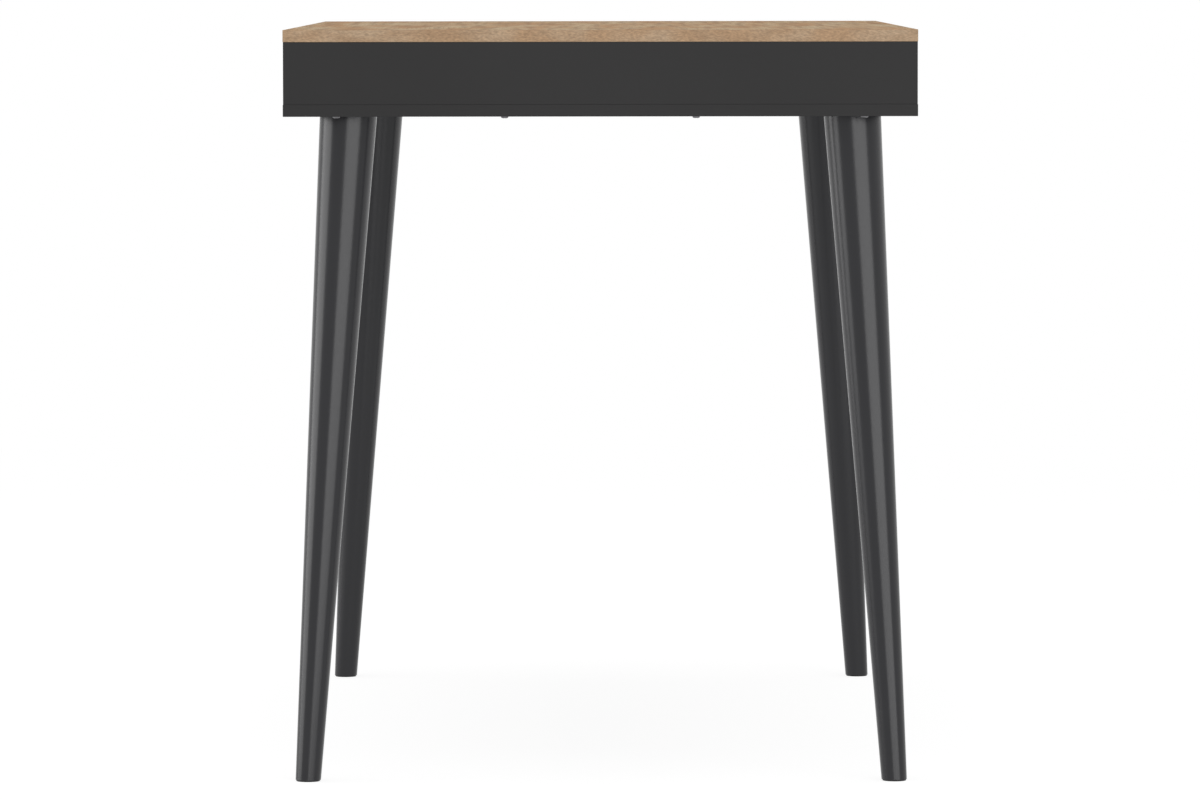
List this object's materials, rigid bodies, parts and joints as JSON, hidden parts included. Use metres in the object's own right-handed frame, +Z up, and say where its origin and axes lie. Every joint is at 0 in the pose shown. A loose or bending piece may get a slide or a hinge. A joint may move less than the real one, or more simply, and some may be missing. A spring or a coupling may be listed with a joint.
{
  "type": "writing desk with drawers",
  "caption": "Slim writing desk: oak-effect top on a dark box with side-by-side inset drawers on ball-bearing runners, raised on raked, tapered round legs.",
  "frame": {"origin": "on the floor, under the middle of the desk", "axes": "+X along the desk to the user's right, +Y from the drawer side to the back, +Z up"},
  "size_m": [1.12, 0.63, 0.75],
  "materials": {
    "oak_melamine": "matt light oak melamine with a fine printed grain",
    "dark_melamine": "matt anthracite melamine",
    "leg_lacquer": "satin anthracite lacquer on turned wood",
    "black_nylon": "matt moulded nylon",
    "zinc_steel": "bright zinc plate",
    "zinc_casting": "dull die-cast zinc",
    "rail_steel": "zinc-plated rolled steel",
    "beech": "plain fluted beech",
    "hardboard": "thin hardboard with an anthracite face",
    "ball_steel": "polished bearing steel"
  },
  "bodies": {
    "desk": {"desktop": "oak_melamine", "bottom_panel": "dark_melamine", "left_end_panel": "dark_melamine", "right_end_panel": "dark_melamine", "back_panel": "dark_melamine", "centre_divider": "dark_melamine", "front_left_leg": "leg_lacquer", "front_right_leg": "leg_lacquer", "rear_left_leg": "leg_lacquer", "rear_right_leg": "leg_lacquer", "front_left_glide": "black_nylon", "front_right_glide": "black_nylon", "rear_left_glide": "black_nylon", "rear_right_glide": "black_nylon", "box_screws": "zinc_steel", "leg_bolts": "zinc_steel", "leg_washers": "zinc_steel", "leg_inserts": "zinc_steel", "bay_rail_screws": "zinc_steel", "cam_bolts": "zinc_steel", "cam_locks": "zinc_casting", "left_bay_left_rail": "rail_steel", "left_bay_right_rail": "rail_steel", "right_bay_left_rail": "rail_steel", "right_bay_right_rail": "rail_steel", "desktop_dowels": "beech"},
    "left_drawer": {"left_drawer_front": "dark_melamine", "left_drawer_left_side": "dark_melamine", "left_drawer_right_side": "dark_melamine", "left_drawer_back": "dark_melamine", "left_drawer_left_rail": "rail_steel", "left_drawer_right_rail": "rail_steel", "left_drawer_bottom": "hardboard", "left_drawer_dowels": "beech", "left_drawer_rail_screws": "zinc_steel"},
    "left_drawer_cages": {"left_drawer_ball_cages": "rail_steel", "left_drawer_balls": "ball_steel"},
    "right_drawer": {"right_drawer_front": "dark_melamine", "right_drawer_left_side": "dark_melamine", "right_drawer_right_side": "dark_melamine", "right_drawer_back": "dark_melamine", "right_drawer_left_rail": "rail_steel", "right_drawer_right_rail": "rail_steel", "right_drawer_bottom": "hardboard", "right_drawer_dowels": "beech", "right_drawer_rail_screws": "zinc_steel"},
    "right_drawer_cages": {"right_drawer_ball_cages": "rail_steel", "right_drawer_balls": "ball_steel"}
  },
  "joints": [
    {"name": "left_drawer_slide", "type": "slide", "parent": "desk", "child": "left_drawer", "axis": [0, -1, 0], "range_m": [0, 0.34]},
    {"name": "left_cage_slide", "type": "slide", "parent": "desk", "child": "left_drawer_cages", "axis": [0, -1, 0], "range_m": [0, 0.17]},
    {"name": "right_drawer_slide", "type": "slide", "parent": "desk", "child": "right_drawer", "axis": [0, -1, 0], "range_m": [0, 0.34]},
    {"name": "right_cage_slide", "type": "slide", "parent": "desk", "child": "right_drawer_cages", "axis": [0, -1, 0], "range_m": [0, 0.17]}
  ],
  "couplings": [
    {"joint": "left_cage_slide", "follows": "left_drawer_slide", "ratio": 0.5},
    {"joint": "right_cage_slide", "follows": "right_drawer_slide", "ratio": 0.5}
  ]
}
